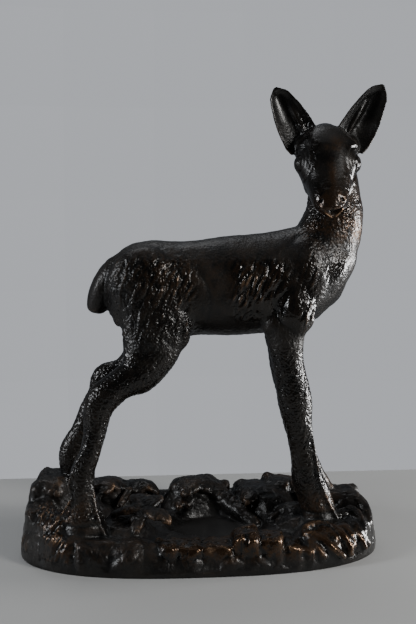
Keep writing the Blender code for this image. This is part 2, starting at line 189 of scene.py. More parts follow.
NEAR_FORE = [
    (92, -24, 238, 26, 17), (83, -25, 212, 22, 16), (80.5, -26, 193, 19, 15),
    (82, -26, 168, 15.8, 13.2), (86.3, -26, 146, 15.4, 12.6), (89.5, -26, 130, 16.6, 13.2),
    (91.7, -26, 114, 15.6, 12.5), (95.3, -26, 90, 12.2, 11), (99.5, -26, 69, 12.7, 11.3),
    (103.5, -26, 47, 15.3, 12.6), (109.5, -26, 33, 16, 13), (114, -27, 18, 16.4, 14), (116, -28, 6, 17, 15),
]
FAR_FORE = [
    (95, 24, 238, 26, 17), (88, 24, 212, 21.5, 16), (83, 23, 193, 18, 14),
    (85, 22, 168, 14.8, 12), (88, 22, 146, 14.2, 11.5), (93.5, 22, 130, 15.2, 12),
    (98.5, 22, 112, 14.2, 11), (100.5, 22, 90, 11.4, 10.4), (105, 22, 68, 11.6, 10.4),
    (111, 22, 50, 13, 11.8), (117, 22, 37, 13, 11.8), (124, 22, 26, 13, 12.2), (129, 22, 12, 14, 13),
]
# Hooves: x, y and height of the middle of the sole, then length.
HOOVES = [(-110.5, -44, -1, 48), (-121, 37, 17, 34), (120.5, -26, -1, 34), (130, 22, 5, 34)]
HOOF_WIDTH, HOOF_HEIGHT = 27, 24
# Raised seams: points with x, y and height, then radius.
SEAMS = [
    [(-70, -38, 164, 1.2), (-83, -42, 156, 1.5), (-96, -46, 147, 1.6), (-103, -47, 137, 1.8),
     (-106, -48, 125, 1.6), (-106.5, -49, 106, 1.5), (-109, -50, 91, 1.6), (-116, -50, 78, 1.8),
     (-121, -50, 66, 2.0), (-123.5, -50, 54, 2.0), (-121, -52, 44, 2.0), (-126, -53, 36, 1.9),
     (-132, -54, 29, 1.6)],
    [(105, -32, 104, 0.8), (108, -34, 84, 1.3), (111, -36, 62, 1.6), (114, -37, 47, 1.7),
     (122, -38, 28, 1.9), (129, -38, 15, 2.0), (133, -38, 7, 2.2)],
    [(-104, -49, 62, 1.4), (-103, -50, 46, 2), (-100, -52, 30, 2.4), (-95, -54, 14, 2.6), (-89, -55, 2, 2.6)],
    [(109, 16, 84, 2.6), (114, 17, 64, 4), (121, 17, 46, 5), (128, 16, 32, 5.4), (137, 16, 20, 5)],
]


def add_hoof(x, y, z, length):
    run = [
        (z - 4, 0, 0.98, 1), (z + 2, -0.5, 1, 1), (z + HOOF_HEIGHT * 0.55, -4, 0.84, 0.95),
        (z + HOOF_HEIGHT, -7, 0.72, 0.86),
    ]
    turns = [2 * math.pi * i / 40 for i in range(40)]
    skin_rings([
        [
            at(x + shift + math.cos(turn) * length / 2 * long,
               y + math.sin(turn) * HOOF_WIDTH / 2 * wide, height)
            for turn in turns
        ]
        for height, shift, long, wide in run
    ])


def add_cord(points):
    """A round ridge through the points, each (x, y, height, radius)."""
    run = smooth_run(points, steps=5)
    middles = [at(*station[:3]) for station in run]
    rings = []
    for i, station in enumerate(run):
        ahead = (middles[min(i + 1, len(run) - 1)] - middles[max(i - 1, 0)]).normalized()
        side = ahead.cross(Vector((0, 0, 1)) if abs(ahead.z) < 0.8 else Vector((0, 1, 0))).normalized()
        up = side.cross(ahead)
        rings.append((middles[i], side * station[3] * MM, up * station[3] * MM))
    skin_ovals(rings, bulge=1.0, sides=14)


for stations in (NEAR_HIND, FAR_HIND, NEAR_FORE, FAR_FORE):
    add_limb(stations)
for hoof in HOOVES:
    add_hoof(*hoof)
for seam in SEAMS:
    add_cord(seam)

# Head
#
# The head looks out to the side, with a domed forehead, big eyes set well round it and a short
# muzzle. Built up in clay on the neck: the eyeballs went in as pellets and got their lids after.

HEAD_MIDDLE = (121, -5, 361)
HEAD_YAW, HEAD_DROP = math.radians(-5.8), math.radians(49)
# Distance along the face, shift towards the brow, half the width, half the depth.
HEAD_RINGS = [
    (-26, -2, 14, 14), (-18, -1, 21.5, 20.5), (-6, 0, 27, 25.5), (8, 0, 29, 26.5), (20, -1, 28, 24.5),
    (33, -1.5, 23.5, 20.5), (45, -1.5, 19.5, 17), (56, -1, 17.5, 14), (64, -1, 15, 11.5),
    (68.5, -1, 11, 8.5),
]
EYE_ALONG, EYE_UP, EYE_SIDE, EYE_RADIUS = 17, 3, 19.8, 11.5
EYE_TURN = math.radians(64)

ahead_axis = Vector((math.sin(HEAD_YAW), -math.cos(HEAD_YAW), 0))
nose_axis = ahead_axis * math.cos(HEAD_DROP) - Vector((0, 0, math.sin(HEAD_DROP)))
side_axis = Vector((math.cos(HEAD_YAW), math.sin(HEAD_YAW), 0))
brow_axis = nose_axis.cross(side_axis)
head_turn = Matrix((side_axis, nose_axis, brow_axis)).transposed()


def on_head(along, side, brow):
    return at(*HEAD_MIDDLE) + (nose_axis * along + side_axis * side + brow_axis * brow) * MM


skin_ovals([
    (on_head(along, 0, shift), side_axis * wide * MM, brow_axis * deep * MM)
    for along, shift, wide, deep in smooth_run(HEAD_RINGS)
])
for hand in (-1, 1):
    add_ball(on_head(EYE_ALONG, hand * EYE_SIDE, EYE_UP), [EYE_RADIUS] * 3)
    add_ball(on_head(EYE_ALONG - 13, hand * (EYE_SIDE - 4), EYE_UP + 7), [13, 10, 10], head_turn)
    add_ball(on_head(28, hand * 12, -9), [11, 18, 13], head_turn)
    add_ball(on_head(56, 1 + hand * 7.5, -3), [9.5, 11, 9.5], head_turn)
    add_ball(on_head(58, 1 + hand * 8, 3), [7, 10, 6], head_turn)
add_ball(on_head(60, 1, 5), [9.5, 7, 6.5], head_turn)
add_ball(on_head(57, -0.5, -12.5), [8.5, 11, 4.6], head_turn)
add_ball(at(122, 5, 369), [31, 14, 13.5])
add_ball(at(100.5, 4, 365), [9.5, 10, 12])
add_ball(at(145.5, 4, 366), [9, 10, 12])

# Ears
#
# Two large leaf-shaped ears, pricked and open to the front, with a folded ridge inside the front
# edge. Each was cut from a sheet of clay, cupped and set on the skull.

EARS = [((102.5, -2, 366), (71.5, 2, 424), 1), ((143, -2, 368), (177.5, 0, 427.5), -1)]
EAR_WIDTH, EAR_CUP, EAR_WALL = 36, 12, 5
EAR_SHAPE = [0.90, 1.0, 1.0, 0.98, 0.94, 0.88, 0.79, 0.68, 0.52, 0.10]


def add_ear(root, tip, inner_side):
    start, end = at(*root), at(*tip)
    along = end - start
    side = Vector((0, 1, 0)).cross(along).normalized()
    back = along.cross(side).normalized()
    if back.y < 0:
        back = -back
    toward_crown = side if side.x * inner_side > 0 else -side
    rings, fold = [], []
    shape = [float(v[0]) for v in smooth_run([(v,) for v in EAR_SHAPE], 4)]
    for i, width in enumerate(shape):
        share = i / (len(shape) - 1)
        half = EAR_WIDTH / 2 * width * MM
        cup = EAR_CUP * width * MM * (0.65 + 0.35 * share)
        wall = EAR_WALL * MM * (1.25 - 0.45 * share)
        middle = start + along * share * 0.985
        front_face, back_face = [], []
        for step in range(25):
            across = -math.cos(math.pi * step / 24)
            depth = cup * (1 - across**2)
            edge = wall / 2 * (1 - 0.5 * across**4)
            back_face.append(middle + side * half * across + back * (depth + edge))
            front_face.append(middle + side * half * across + back * (depth - edge))
        rings.append(back_face + front_face[::-1])
        if 0.08 < share < 0.72:
            lift = math.sin((share - 0.08) / 0.64 * math.pi)
            out = 0.28 + 0.2 * share
            where = middle + toward_crown * half * out + back * (cup * (1 - out**2) - wall * 0.45)
            fold.append((where, toward_crown * (1.2 + 1.7 * lift) * MM, back * (1.6 + 2.6 * lift) * MM))
    skin_rings(rings)
    skin_ovals(fold, bulge=0.8, sides=14)


for root, tip, inner_side in EARS:
    add_ear(root, tip, inner_side)

# Ground
#
# An oval plate of rough ground round a smooth, lower pool. One slab of clay, pressed and torn at
# the rim, with a thin plain skirt that meets the table.

BASE_LENGTH, BASE_DEPTH, POOL_LEVEL, SKIRT, RIM_ROUND = 350, 177, 16, 5, 20
# x, y, half-length, half-width, turn in degrees, top height above the table.
MOUNDS = [
    (-147, 26, 26, 36, 0, 62), (-126, 38, 24, 24, 0, 44), (-156, -8, 24, 34, 12, 47),
    (-92, 56, 38, 30, 0, 46), (-60, 58, 30, 26, 0, 43), (-2, 50, 40, 34, 0, 48),
    (20, 38, 30, 20, -50, 42), (38, 16, 24, 13, -50, 30), (52, -2, 13, 8, -50, 22), (60, 62, 26, 18, 0, 39),
    (92, 56, 32, 28, 0, 45), (124, 48, 26, 22, 0, 40), (154, 18, 26, 42, -8, 44), (163, -10, 14, 22, 12, 38),
    (138, 14, 20, 18, 0, 36), (-140, -38, 28, 28, 10, 46), (120, -46, 36, 24, -8, 33),
    (150, -34, 22, 28, 14, 34), (-84, -66, 52, 20, 0, 29), (-122, -56, 30, 22, 24, 32),
    (68, 34, 44, 44, 10, 40), (-74, -32, 33, 38, 0, 36), (98, -14, 24, 36, 0, 31), (-102, 14, 24, 30, 0, 34),
]
POOL = (17, -8, 55, 42)


def step_up(value):
    value = min(1.0, max(0.0, value))
    return value * value * (3 - 2 * value)


def oval_radius(x, y):
    power = 2.6 if y < 0 else 3.2
    return ((abs(x) * 2 / BASE_LENGTH) ** power + (abs(y) * 2 / BASE_DEPTH) ** power) ** (1 / power)


def ground_height(x, y):
    rough = noise.fractal(Vector((x, y, 0)) / 30, 1.0, 2.0, 3) * 2.0
    lip = 9 - 6 * step_up((-y - 30) / 30) * step_up((110 - x) / 30)
    height = GROUND + rough + lip * step_up((oval_radius(x, y) - 0.66) * 5)
    trench = step_up((-y - 60) / 8) * step_up((x + 46) / 8) * step_up((98 - x) / 8)
    height += (16 - height) * trench
    for mound_x, mound_y, long, wide, turn, top in MOUNDS:
        c, s = math.cos(math.radians(turn)), math.sin(math.radians(turn))
        dx, dy = x - mound_x, y - mound_y
        reach = math.hypot((dx * c + dy * s) / long, (dy * c - dx * s) / wide)
        height = max(height, GROUND + (top - GROUND) * step_up(1.9 * (1 - reach)) + rough * 0.8)
    reach = math.hypot((x - POOL[0]) / POOL[2], (y - POOL[1]) / POOL[3])
    reach += 0.10 * noise.noise(Vector((x, y, 9)) / 16)
    return POOL_LEVEL + (height - POOL_LEVEL) * step_up((reach - 0.74) * 5)


def add_slab():
    shares = [1.0, 1.0, 0.995, 0.985, 0.975, 0.96, 0.94, 0.92, 0.90]
    shares += [0.88 - 0.88 * i / 46 for i in range(46)]
    rings = []
    for level, share in enumerate(shares):
        ring = []
        for i in range(360):
            angle = 2 * math.pi * i / 360
            ray = Vector((math.cos(angle) * BASE_LENGTH, math.sin(angle) * BASE_DEPTH))
            point = ray * (share / oval_radius(*ray))
            inset = point.length * (1 / share - 1)
            flute = noise.noise(Vector((point.x, point.y, 3000)) * 0.052) * 5.5
            wall = min(1.0, max(0.0, (inset + flute) / RIM_ROUND))
            rise = math.sqrt(1 - (1 - wall) ** 2)
            height = SKIRT + (ground_height(*point) - SKIRT) * rise
            if level < 2:
                height = (-6, SKIRT)[level]
            ring.append(Vector((point.x, point.y, height)) * MM)
        rings.append(ring)
    skin_rings(rings)


add_slab()

# Rim stones
#
# Squarish stones and broken ledges stand round the rim, the tallest at the front middle and at
# the back. Lumps of clay cut with a wire and pressed in, so their faces are flat and uneven.

SQUARENESS = 5
# x, y, half-length, half-width, turn in degrees, top height above the table.
STONES = [
    (-34, -69, 10, 15, 6, 28), (-14, -69, 12.5, 15, 3, 27), (12, -69, 15, 15, -3, 27),
    (38, -68, 13, 17, 2, 37), (61, -69, 12.5, 15, -3, 32), (80, -68, 12, 15, -8, 24),
    (95, -66, 10, 15, -14, 21), (-107, -60, 14, 15, 18, 28), (-134, -44, 19, 18, 38, 34),
    (-158, -8, 12, 26, 10, 44), (-148, 30, 18, 28, -12, 62), (-127, 44, 16, 22, 8, 52),
    (-96, 64, 24, 17, -4, 46), (-62, 66, 19, 15, 6, 43), (-2, 56, 25, 20, 8, 48),
    (18, 50, 14, 20, -28, 45), (60, 66, 18, 14, 10, 40), (88, 60, 18, 18, -6, 46),
    (120, 56, 18, 15, -14, 41), (148, 36, 16, 22, -30, 41),
]


def add_stone(x, y, long, wide, turn, top):
    turned = Matrix.Rotation(math.radians(turn), 3, "Z")
    rings = []
    for unit_ring in unit_ball():
        ring = []
        for unit in unit_ring:
            block = unit / sum(abs(value) ** SQUARENESS for value in unit) ** (1 / SQUARENESS)
            block *= 1 + 0.16 * noise.noise(block * 1.7 + Vector((x, y, 0)))
            block *= 1 + 0.05 * noise.noise(block * 4.5 + Vector((y, x, 0)))
            block = turned @ Vector((block.x * long, block.y * wide, block.z))
            ring.append(Vector((x + block.x, y + block.y, top / 2 * (1 + block.z))) * MM)
        rings.append(ring)
    skin_rings(rings)


for stone in STONES:
    add_stone(*stone)

# Leaves
#
# Crumpled ivy-like leaves lie in clumps by the pool and along the back, lobed, veined and lifted
# at the tips. Rolled clay, cut, creased along the veins and draped over the stones.

# A lobed leaf: x, y and height of the middle above the table, radius, turn in degrees, then how far
# the tips lie below the middle.
LEAVES = [
    (-92, 52, 50, 27, 200, 8), (-60, 54, 47, 22, 330, 9), (-2, 46, 51, 30, 250, 9),
    (66, 40, 42, 33, 240, 5), (92, 48, 47, 22, 120, 8), (96, -2, 37, 20, 175, 7),
    (-14, 30, 36, 14, 240, 7), (-104, 12, 38, 18, 90, 8), (148, 24, 44, 20, 60, 6),
]
LOBES, LOBE_TURN = 5, 62
# The big leaf by the pool: its middle, then the tips of its lobes and half of each lobe's width.
STAR = (-55, -36, 47)
STAR_LOBES = [
    ((-38, -9, 52), 8.5), ((-64, 6, 48), 10), ((-89, -22, 38), 8.5), ((-65, -57, 32), 6.5),
    ((-31, -55, 42), 10),
]
LEAF_THICKNESS = 5


def add_lobe(middle, tip, half_width):
    """One lobe: crowned above, with a trough along its vein, and thick enough to cast."""
    middle, tip = Vector(middle), Vector(tip)
    along = tip - middle
    side = along.cross(Vector((0, 0, 1))).normalized()
    up = side.cross(along).normalized()
    rings = []
    for step in range(19):
        share = step / 18
        wide = half_width * (0.40 + 0.60 * math.sin(math.pi * min(1, 0.05 + 0.85 * share)))
        wide *= math.sqrt(1 - 0.97 * share**6)
        spine = middle + along * share + up * math.sin(math.pi * share) * 0.08 * along.length
        top, under = [], []
        for part in range(17):
            across = part / 8 - 1
            vein = 1.6 * math.exp(-((across / 0.17) ** 2)) * (0.3 + 0.7 * share)
            crown = 0.28 * wide * (1 - across**2) - vein
            wave = 0.7 * noise.noise((spine + side * across * wide) / 7)
            here = spine + side * wide * across + up * (crown + wave)
            top.append(here * MM)
            under.append((here - Vector((0, 0, LEAF_THICKNESS))) * MM)
        rings.append(top + under[::-1])
    skin_rings(rings)


for x, y, z, radius, turn, droop in LEAVES:
    for lobe in range(LOBES):
        angle = math.radians(turn + (lobe - 2) * LOBE_TURN)
        reach = radius * (1 - 0.13 * abs(lobe - 2)) * (1 + 0.12 * math.sin(x + lobe * 2.3))
        lobe_tip = (x + math.cos(angle) * reach, y + math.sin(angle) * reach, z - droop)
        add_lobe((x, y, z), lobe_tip, radius * 0.36)
for lobe_tip, half_width in STAR_LOBES:
    add_lobe(STAR, lobe_tip, half_width)

# Roots and ridges
#
# Sharp ribs fan out from the fore hoof down to the front right, a ledge runs along the front left
# and the right end curls over like bark. Thin rolls of clay laid on and pinched to an edge.

# Points with x, y and height above the ground, then radius.
RIDGES = [
    [(96, -56, 6, 4), (97, -62, 5, 4.6), (104, -65, 5, 4.8), (114, -70, 0, 4.6), (121, -73, -6, 4),
     (129, -73, -12, 3.4)],
    [(98, -53, 9, 4.6), (107, -49, 10, 4.4), (118, -50, 10, 4)],
    [(110, -54, 8, 3.4), (117, -60, 7, 4), (124, -66, 2, 3.2)],
    [(122, -53, 9, 3.8), (129, -61, 5, 4.4), (136, -66, -3, 4), (137, -69, -12, 3.4)],
    [(132, -52, 8, 3.4), (139, -58, 2, 4), (141, -63, -6, 3.4)],
    [(98, -70, 0, 3.2), (104, -74, -4, 4.4), (109, -76, -10, 5)],
    [(141, -47, 7, 2.8), (149, -53, -1, 3.4), (154, -56, -11, 3)],
    [(147, -42, 6, 2.8), (154, -46, -2, 3.4), (159, -49, -11, 3)],
    [(133, -30, 11, 5), (143, -24, 13, 6), (150, -26, 13, 6), (153, -36, 9, 5), (155, -45, 0, 4.4)],
    [(134, 8, 16, 8), (148, 6, 17, 9), (158, 0, 15, 9), (163, -12, 9, 8), (163, -24, 1, 7)],
    [(-128, -60, 3, 4), (-104, -66, 4, 4), (-78, -69, 3, 4), (-48, -71, 2, 4)],
    [(18, 42, 14, 11), (33, 26, 7, 10), (45, 10, 0, 9), (54, -3, -4, 7)],
    [(96, -2, 10, 4), (84, -5, 7, 3.6), (72, -5, 3, 3)],
    [(98, -8, 9, 4), (86, -13, 6, 3.6), (76, -16, 2, 3)],
    [(100, -26, 8, 4), (88, -28, 5, 3.6), (76, -28, 1, 3)],
    [(-70, 38, 20, 4), (-75, 28, 14, 4), (-80, 20, 9, 3.2)],
    [(-100, 34, 18, 4), (-103, 24, 13, 3.4), (-105, 16, 8, 3)],
]
for ridge in RIDGES:
    add_cord(ridge)

# The one skin
#
# Clay, wax and then bronze: all the masses become one skin, softened where they meet. It is set
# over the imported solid, whose box it keeps.

cast_low, cast_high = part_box("fawn_on_rocky_ground")
GRAIN, SOFTENING = 1.1 * MM, 7
TRIANGLES = 190000

bmesh.ops.recalc_face_normals(form, faces=form.faces)
clay_mesh = bpy.data.meshes.new("clay")
form.to_mesh(clay_mesh)
form.free()
clay = bpy.data.objects.new("clay", clay_mesh)
bpy.context.scene.collection.objects.link(clay)
remesh = clay.modifiers.new("one_skin", "REMESH")
remesh.mode = "VOXEL"
remesh.voxel_size = GRAIN
soften = clay.modifiers.new("soften", "SMOOTH")
soften.factor = 0.5
soften.iterations = SOFTENING
skin = bpy.data.meshes.new_from_object(clay.evaluated_get(bpy.context.evaluated_depsgraph_get()))
bpy.data.objects.remove(clay)
skin.name = "bronze_skin"

face_form = bmesh.new()
face_form.from_mesh(skin)
face_low, face_high = on_head(70, -42, -20), on_head(-6, 42, 24)
face_edges = [
    item for item in face_form.edges
    if face_low.z < item.verts[0].co.z < face_high.z and item.verts[0].co.y < -0.012
    and 0.075 < item.verts[0].co.x < 0.165
]
bmesh.ops.subdivide_edges(face_form, edges=face_edges, cuts=1, use_grid_fill=True)
bmesh.ops.triangulate(face_form, faces=[item for item in face_form.faces if len(item.verts) > 4])
face_form.to_mesh(skin)
face_form.free()

count = len(skin.vertices)
point = np.empty(count * 3)
skin.vertices.foreach_get("co", point)
point = point.reshape(-1, 3)
shift = [(cast_low[i] + cast_high[i]) / 2 - (point[:, i].min() + point[:, i].max()) / 2 for i in (0, 1)]
edge = np.empty(len(skin.edges) * 2, dtype=np.int64)
skin.edges.foreach_get("vertices", edge)
edge = edge.reshape(-1, 2)
neighbours = np.bincount(edge.ravel(), minlength=count)[:, None]


def spread(values, rounds=1):
    """Each vertex's value averaged with its neighbours', several times over."""
    for _ in range(rounds):
        total = np.zeros_like(values)
        for axis in range(values.shape[1]):
            total[:, axis] = np.bincount(edge[:, 0], values[edge[:, 1], axis], count)
            total[:, axis] += np.bincount(edge[:, 1], values[edge[:, 0], axis], count)
        values = 0.5 * values + 0.5 * total / neighbours
    return values


def normals():
    skin.vertices.foreach_set("co", point.ravel())
    skin.update()
    found = np.empty(count * 3)
    skin.vertex_normals.foreach_get("vector", found)
    return found.reshape(-1, 3)


limbs = np.clip((point[:, 2] / MM - 75) / 40, 0, 1) * (1 - np.clip((point[:, 2] / MM - 335) / 15, 0, 1))
ear_tops = np.clip((point[:, 2] / MM - 405) / 15, 0, 1)
chest_fold = np.clip((point[:, 0] / MM - 92) / 12, 0, 1)
chest_fold *= np.clip(1 - np.abs(point[:, 2] / MM - 276) / 50, 0, 1)
point += (spread(point, 60) - point) * chest_fold[:, None]
ground_band = np.clip((62 - point[:, 2] / MM) / 12, 0, 1)
point += (spread(point, 16) - point) * limbs[:, None] + (spread(point, 12) - point) * ear_tops[:, None]
point += (spread(point, 3) - point) * ground_band[:, None]
normal = normals()
mm = point / MM
height = mm[:, 2] - GROUND

# Carved face and hooves
#
# Lids, iris rings, nostrils, lips and the clefts of the hooves, cut with a wire loop and a needle
# once the clay had set, and kept crisp by the casting.

move = np.zeros_like(mm)
# Rings round the middle of the eye: radius, half-width, then how far it is raised or cut.
EYE_RINGS = [
    (0, 2.4, 0.5), (3.4, 0.8, -0.55), (5.0, 0.7, 0.45), (6.6, 0.8, -0.5), (8.2, 0.7, 0.35),
    (12.4, 0.9, -0.9),
]


def dot(vectors, axis):
    return vectors @ np.array(axis)


from_head = mm - np.array(HEAD_MIDDLE) - (0, 0, GROUND)
along, across, up = dot(from_head, nose_axis), dot(from_head, side_axis), dot(from_head, brow_axis)
head = (np.linalg.norm(from_head, axis=1) < 88) & (along > -12)
nostril_rims = np.zeros(count)
for hand in (-1, 1):
    look = side_axis * hand * math.sin(EYE_TURN) + ahead_axis * math.cos(EYE_TURN)
    eye = np.array(on_head(EYE_ALONG, hand * EYE_SIDE, EYE_UP)) / MM
    offset = mm - eye
    out = dot(offset, look)
    flat = offset - out[:, None] * np.array(look)
    radius = np.hypot(flat[:, 2] / 1.25, np.hypot(flat[:, 0], flat[:, 1]))
    ring = np.zeros(count)
    for where, width, depth in EYE_RINGS:
        ring += depth * np.exp(-(((radius - where) / width) ** 2))
    nose_side = np.clip(0.5 - (flat @ np.array(side_axis)) * hand / 12, 0, 1)
    socket = np.exp(-(((radius - 14.4) / 1.1) ** 2)) * (0.7 + 0.9 * np.abs(flat[:, 2]) / 15)
    ring += nose_side * (0.6 * socket - 0.4 * np.exp(-(((radius - 17) / 1.6) ** 2)))
    facing = head & (out > -3) & (dot(normal, look) > -0.2)
    move += np.where(facing, ring, 0)[:, None] * np.array(look)
    duct = np.hypot(up - 2 - (along - 34) * 0.05, (across - hand * (21 - (along - 28) * 0.32)))
    slot_cut = np.exp(-((duct / 1.6) ** 2)) * np.clip((along - 26) / 4, 0, 1)
    slot_cut *= np.clip((46 - along) / 6, 0, 1)
    move -= (1.1 * slot_cut * head)[:, None] * normal
    hole = np.hypot((across - 1 - hand * 9.5) / 1.6, up - 7 + (across - 1 - hand * 9.5) * hand * 0.6)
    nostril = np.exp(-((hole / 1.0) ** 2)) * (along > 54) * head
    move -= 1.3 * nostril[:, None] * normal
    nostril_rims += 0.5 * np.exp(-(((hole - 2) / 1.2) ** 2)) * (along > 54) * head
# The mouth is a dark gap, widest in the middle, over the thin V of the lower lip.
MOUTH_SIDE, MOUTH_HALF = 3, 8
from_middle = np.abs(across - MOUTH_SIDE)
lip = 0.03 * from_middle**2 - 1.4
gap = 0.5 + 2.9 * np.clip(1 - (from_middle / MOUTH_HALF) ** 2, 0, 1)
on_muzzle = head * np.clip((MOUTH_HALF + 1 - from_middle) / 2, 0, 1)
mouth = np.exp(-(((up - lip) / gap) ** 2)) * np.clip((along - 46) / 8, 0, 1) * on_muzzle
move -= 4.4 * mouth[:, None] * normal
lower_lip = np.exp(-(((up + 8 - 1.05 * from_middle) / 1.3) ** 2)) * np.clip((along - 50) / 6, 0, 1)
lower_lip *= on_muzzle
move += 2.2 * lower_lip[:, None] * normal
philtrum = np.exp(-(((across - 1) / 1.1) ** 2)) * (along > 60) * (up < 6) * (up > lip + 2) * head
move -= 0.5 * philtrum[:, None] * normal
bridge = np.exp(-(((across - 2) / 3) ** 2)) * np.clip((along - 24) / 10, 0, 1)
bridge *= np.clip((60 - along) / 10, 0, 1)
move += (0.35 * bridge * head * (up > 0))[:, None] * normal
for x, y, z, length in HOOVES:
    dx, dy, dz = mm[:, 0] - x, mm[:, 1] - y, height - z
    near = (dx > -2) & (dx < length) & (abs(dy) < 14) & (dz > -3) & (dz < 26)
    cleft = np.exp(-((dy / 1.5) ** 2)) * near
    move[:, 0] -= 3.2 * cleft
    band = np.exp(-(((dz - 19) / 1.6) ** 2)) * (abs(dx) < 24) * (abs(dy) < 18)
    move -= 0.8 * band[:, None] * normal

# Coat
#
# The coat is drawn with a loop tool: short slanting strokes on the ribs, shoulder and haunch, a
# pricked texture on the legs and neck, and almost nothing on the belly, back, ears and face.

STROKE = Vector((0.38, 0, 0.925))


def gate(values, low, high, soft):
    return np.clip((values - low) / soft, 0, 1) * np.clip((high - values) / soft, 0, 1)


def noise_of(coordinates):
    return np.array([noise.noise(Vector(c)) for c in coordinates])


x, y, z = mm[:, 0], mm[:, 1], height
lengthwise = x * STROKE.x + z * STROKE.z
crosswise = x * STROKE.z - z * STROKE.x
strokes = np.clip(2.2 * noise_of(np.stack([lengthwise / 11, crosswise / 3.0, y / 4], 1)), -1, 1)
pricks = np.clip(2.0 * noise_of(np.stack([x / 2.4, y / 2.4, z / 3.0], 1)), -1, 1)
lumps = noise_of(np.stack([x / 11, y / 11, z / 15], 1))
patch = noise_of(np.stack([x / 24 + 7, y / 24, z / 24], 1))

body = np.clip((z - 175) / 12, 0, 1) * (1 - np.clip((z - 318) / 12, 0, 1))
ribs = body * gate(x, 20, 92, 16) * gate(z, 196, 268, 14)
shoulder = body * gate(x, 84, 150, 14) * gate(z, 186, 276, 16)
haunch = body * gate(x, -100, 2, 14) * gate(z, 180, 274, 14)
neck = gate(z, 262, 342, 14) * gate(x, 90, 170, 8)
legs = gate(z, 12, 200, 14)
stroke_depth = (
    0.85 * ribs + 0.9 * shoulder * np.clip((112 - x) / 10, 0.25, 1) + 0.55 * haunch
    + 0.12 * neck + 0.12 * legs
)
stroke_depth = np.maximum(stroke_depth, 0.08) * (0.55 + 0.9 * np.clip(patch + 0.5, 0, 1))
prick_depth = 0.26 * haunch + 0.22 * neck + 0.14 * neck * (x < 114) + 0.30 * legs
prick_depth += 0.16 * shoulder + 0.1 * ribs
prick_depth = np.maximum(prick_depth, 0.05)
above_stones = np.clip((height - 42) / 4, 0, 1)
on_leg = np.zeros(count)
for stations in (NEAR_HIND, FAR_HIND, NEAR_FORE, FAR_FORE):
    upward = np.array(stations, float)[::-1]
    leg_x, leg_y, thick = (np.interp(height, upward[:, 2], upward[:, i]) for i in (0, 1, 3))
    distance = np.hypot(mm[:, 0] - leg_x, mm[:, 1] - leg_y)
    on_leg = np.maximum(on_leg, np.clip((thick + 4 - distance) / 3, 0, 1))
coat_here = np.maximum(above_stones, on_leg * np.clip((height - 3) / 5, 0, 1))
face_region = head & (along > -4) & (np.abs(across) < 34) & (up > -22)
face_share = np.where(face_region, 0.35, 1.0)
ear_share = np.where(z > 388, 0.12, 1.0)
coat = coat_here * face_share * ear_share
crumple = (
    np.exp(-(((along - 12) / 9) ** 2 + ((across + 13) / 4.5) ** 2))
    + np.exp(-(((along - 48) / 12) ** 2 + ((across - 17) / 5) ** 2))
    + 0.8 * np.exp(-(((along - 31) / 5) ** 2 + ((across + 15) / 4) ** 2))
) * head + 1.2 * np.exp(-(((x - 101) / 7) ** 2 + ((z - 391) / 11) ** 2)) * (y < 8)
move += (0.5 * crumple * coat_here * pricks)[:, None] * normal
relief = coat * (stroke_depth * strokes + prick_depth * pricks + 0.5 * lumps * (z < 320))
move += relief[:, None] * normal
stroke_layer = np.clip(stroke_depth, 0, 1.4) * coat
prick_layer = np.clip(0.2 + prick_depth * 1.6 + 0.5 * crumple, 0, 1.2) * coat

# Creases round the shoulder, elbow and thigh: x and height of the middle, radius, the arc from and
# to in degrees, depth.
CREASES = [
    (94, 222, 27, 120, 260, 2.4), (90, 214, 21, 110, 240, 1.6), (104, 250, 33, 60, 170, 0.9),
    (-34, 222, 42, -60, 55, 1.2), (-14, 205, 26, 190, 300, 1.1), (-84, 222, 14, 200, 330, 1.0),
    (-92, 132, 13, 20, 160, 0.8), (92, 130, 14, -70, 60, 0.7),
]
for cx, cz, arc_radius, low, high, depth in CREASES:
    angle = np.degrees(np.arctan2(z - cz, x - cx))
    angle = np.where(angle < low - 20, angle + 360, angle)
    span = gate(angle, low, high, 22)
    crease = np.exp(-(((np.hypot(x - cx, z - cz) - arc_radius) / 2.6) ** 2)) * span
    move -= (0.6 * depth * crease * coat_here * (abs(normal[:, 1]) > 0.3))[:, None] * normal

# Ground texture
#
# The stones are scored and pitted, the left end is combed into tufts of grass and the pool was
# wiped almost flat. Rasp, wire brush and thumb.

gx, gy, gz = mm[:, 0], mm[:, 1], mm[:, 2]
ground_share = 1 - coat_here
pool_reach = np.hypot((gx - POOL[0]) / POOL[2], (gy - POOL[1]) / POOL[3])
in_pool = np.clip((0.78 - pool_reach) * 6, 0, 1) * (gz < 20)
rock = noise_of(np.stack([gx / 9, gy / 9, gz / 7], 1))
cracks = np.abs(noise_of(np.stack([gx / 6.5 + 31, gy / 6.5, gz / 9], 1)))
grit = noise_of(np.stack([gx / 2.6, gy / 2.6, gz / 2.6], 1))
comb = noise_of(np.stack([(gx * 0.45 + gz * 0.9) / 13, (gz * 0.45 - gx * 0.9) / 2.2, gy / 5], 1))
comb = np.clip(2 * comb, -1, 1)
tufts = gate(gx, -182, -108, 12) * gate(gy, -100, -2, 12) * np.clip(patch * 3 + 0.9, 0, 1) * (gz > 10)
fan = gate(gx, 104, 178, 10) * gate(gy, -90, -4, 12)
texture = 0.6 * rock - 0.5 * np.exp(-((cracks / 0.05) ** 2)) + 0.12 * grit + 0.75 * tufts * comb
texture *= 1 - 0.6 * fan + 0.7 * np.clip((gz - 28) / 10, 0, 1)
texture *= np.clip((gz - 3.5) / 4, 0.08, 1) * (1 - 0.92 * in_pool)
move += (ground_share * texture)[:, None] * normal
point = point + move * MM
point[:, 0] += shift[0]
point[:, 1] += shift[1]

